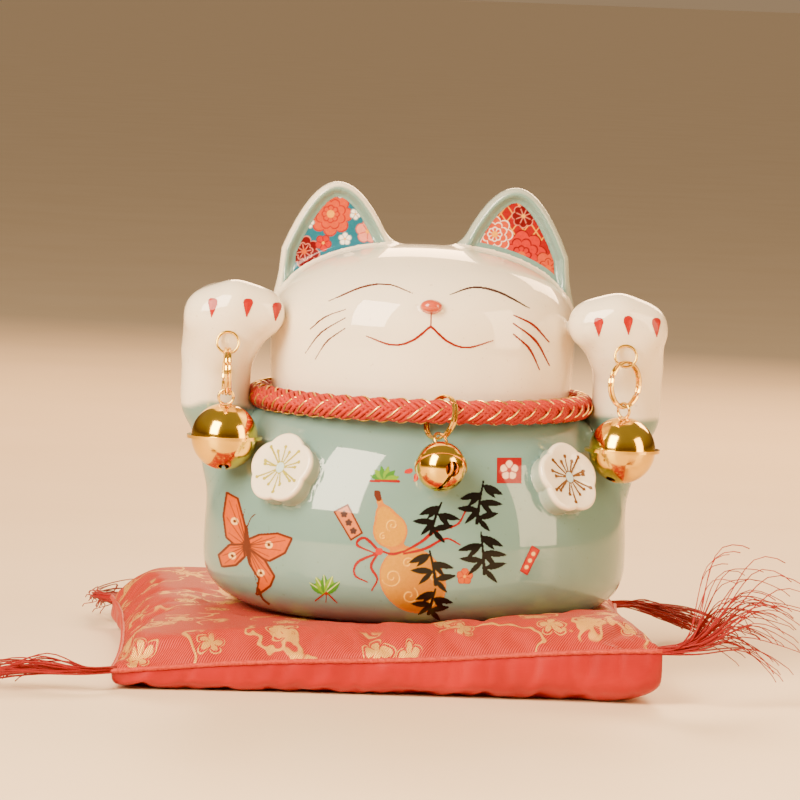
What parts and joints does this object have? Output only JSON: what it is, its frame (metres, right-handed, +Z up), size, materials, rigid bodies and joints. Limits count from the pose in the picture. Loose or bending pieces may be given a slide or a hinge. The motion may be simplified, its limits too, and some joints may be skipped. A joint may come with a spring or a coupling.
{
  "type": "ceramic cat figurine",
  "caption": "Glazed ceramic seated cat with both paws raised, two hanging paw bells, a braided collar with a bell, and a tasselled brocade cushion.",
  "frame": {"origin": "on the cushion's underside, below the middle of the cat", "axes": "+Z up, the cat faces -Y, +X is to the right as seen from the front"},
  "size_m": [0.2104, 0.1804, 0.1208],
  "materials": {
    "brocade": "satin",
    "satin": "satin",
    "filling": "matte",
    "thread": "satin",
    "blue_glaze": "gloss",
    "white_glaze": "gloss",
    "coral_glaze": "gloss",
    "braid": "satin",
    "gilt_brass": "polished",
    "steel": "satin"
  },
  "bodies": {
    "cushion": {"brocade_cover": "brocade", "satin_cover": "satin", "cushion_filling": "filling"},
    "tassel_front_left": {"tassel_front_left": "thread"},
    "tassel_front_right": {"tassel_front_right": "thread"},
    "tassel_back_left": {"tassel_back_left": "thread"},
    "tassel_back_right": {"tassel_back_right": "thread"},
    "cat": {"body_shell": "blue_glaze", "head_shell": "white_glaze", "nose": "coral_glaze", "left_ear": "blue_glaze", "right_ear": "blue_glaze", "left_arm": "white_glaze", "right_arm": "white_glaze", "left_blossom": "white_glaze", "right_blossom": "white_glaze", "left_paw_loop": "gilt_brass", "right_paw_loop": "gilt_brass", "collar_cord": "braid", "collar_clasp": "gilt_brass"},
    "collar_ring": {"collar_ring": "gilt_brass"},
    "collar_bell": {"collar_bell_upper": "gilt_brass", "collar_bell_lower": "gilt_brass", "collar_bell_shank": "gilt_brass"},
    "collar_bell_pellet": {"collar_bell_pellet": "steel"},
    "left_split_ring": {"left_split_ring": "gilt_brass"},
    "left_bell": {"left_bell_upper": "gilt_brass", "left_bell_lower": "gilt_brass", "left_bell_shank": "gilt_brass"},
    "left_bell_pellet": {"left_bell_pellet": "steel"},
    "right_split_ring": {"right_split_ring": "gilt_brass"},
    "right_bell": {"right_bell_upper": "gilt_brass", "right_bell_lower": "gilt_brass", "right_bell_shank": "gilt_brass"},
    "right_bell_pellet": {"right_bell_pellet": "steel"}
  },
  "joints": [
    {"name": "cat_lift", "type": "slide", "parent": "cushion", "child": "cat", "axis": [0, 0, 1], "range_m": [0, 0.06]},
    {"name": "tassel_front_left_swing", "type": "hinge", "parent": "cushion", "child": "tassel_front_left", "pos_m": [-0.07251, -0.06351, 0.0085], "axis": [0, 0, 1], "range_deg": [-20, 20]},
    {"name": "tassel_front_right_swing", "type": "hinge", "parent": "cushion", "child": "tassel_front_right", "pos_m": [0.05451, -0.06351, 0.0105], "axis": [0, 0, 1], "range_deg": [-20, 20]},
    {"name": "tassel_back_left_swing", "type": "hinge", "parent": "cushion", "child": "tassel_back_left", "pos_m": [-0.07251, 0.06351, 0.0085], "axis": [0, 0, 1], "range_deg": [-20, 20]},
    {"name": "tassel_back_right_swing", "type": "hinge", "parent": "cushion", "child": "tassel_back_right", "pos_m": [0.05451, 0.06351, 0.0085], "axis": [0, 0, 1], "range_deg": [-20, 20]},
    {"name": "collar_ring_swing", "type": "hinge", "parent": "cat", "child": "collar_ring", "pos_m": [0.003, -0.039, 0.0671], "axis": [-1, 0, 0], "range_deg": [0, 40]},
    {"name": "collar_bell_swing", "type": "hinge", "parent": "collar_ring", "child": "collar_bell", "pos_m": [0.003, -0.04245, 0.06112], "axis": [-0.5592, 0.6351, -0.5329], "range_deg": [-1.5, 25]},
    {"name": "collar_pellet_roll", "type": "hinge", "parent": "collar_bell", "child": "collar_bell_pellet", "pos_m": [0.003, -0.04798, 0.05454], "axis": [1, 0, 0], "range_deg": [-50, 50]},
    {"name": "left_ring_swing", "type": "hinge", "parent": "cat", "child": "left_split_ring", "pos_m": [-0.049, -0.02375, 0.07861], "axis": [-1, 0, 0], "range_deg": [-2.5, 3.5]},
    {"name": "left_bell_swing", "type": "hinge", "parent": "left_split_ring", "child": "left_bell", "pos_m": [-0.049, -0.02375, 0.06856], "axis": [0, 1, 0], "range_deg": [-2, 25]},
    {"name": "left_pellet_roll", "type": "hinge", "parent": "left_bell", "child": "left_bell_pellet", "pos_m": [-0.049, -0.02375, 0.05806], "axis": [1, 0, 0], "range_deg": [-60, 60]},
    {"name": "right_ring_swing", "type": "hinge", "parent": "cat", "child": "right_split_ring", "pos_m": [0.049, -0.02375, 0.07861], "axis": [-1, 0, 0], "range_deg": [-2.5, 3.5]},
    {"name": "right_bell_swing", "type": "hinge", "parent": "right_split_ring", "child": "right_bell", "pos_m": [0.049, -0.02375, 0.06856], "axis": [0.7071, 0.7071, 0], "range_deg": [-25, 2]},
    {"name": "right_pellet_roll", "type": "hinge", "parent": "right_bell", "child": "right_bell_pellet", "pos_m": [0.049, -0.02375, 0.05806], "axis": [1, 0, 0], "range_deg": [-60, 60]}
  ]
}
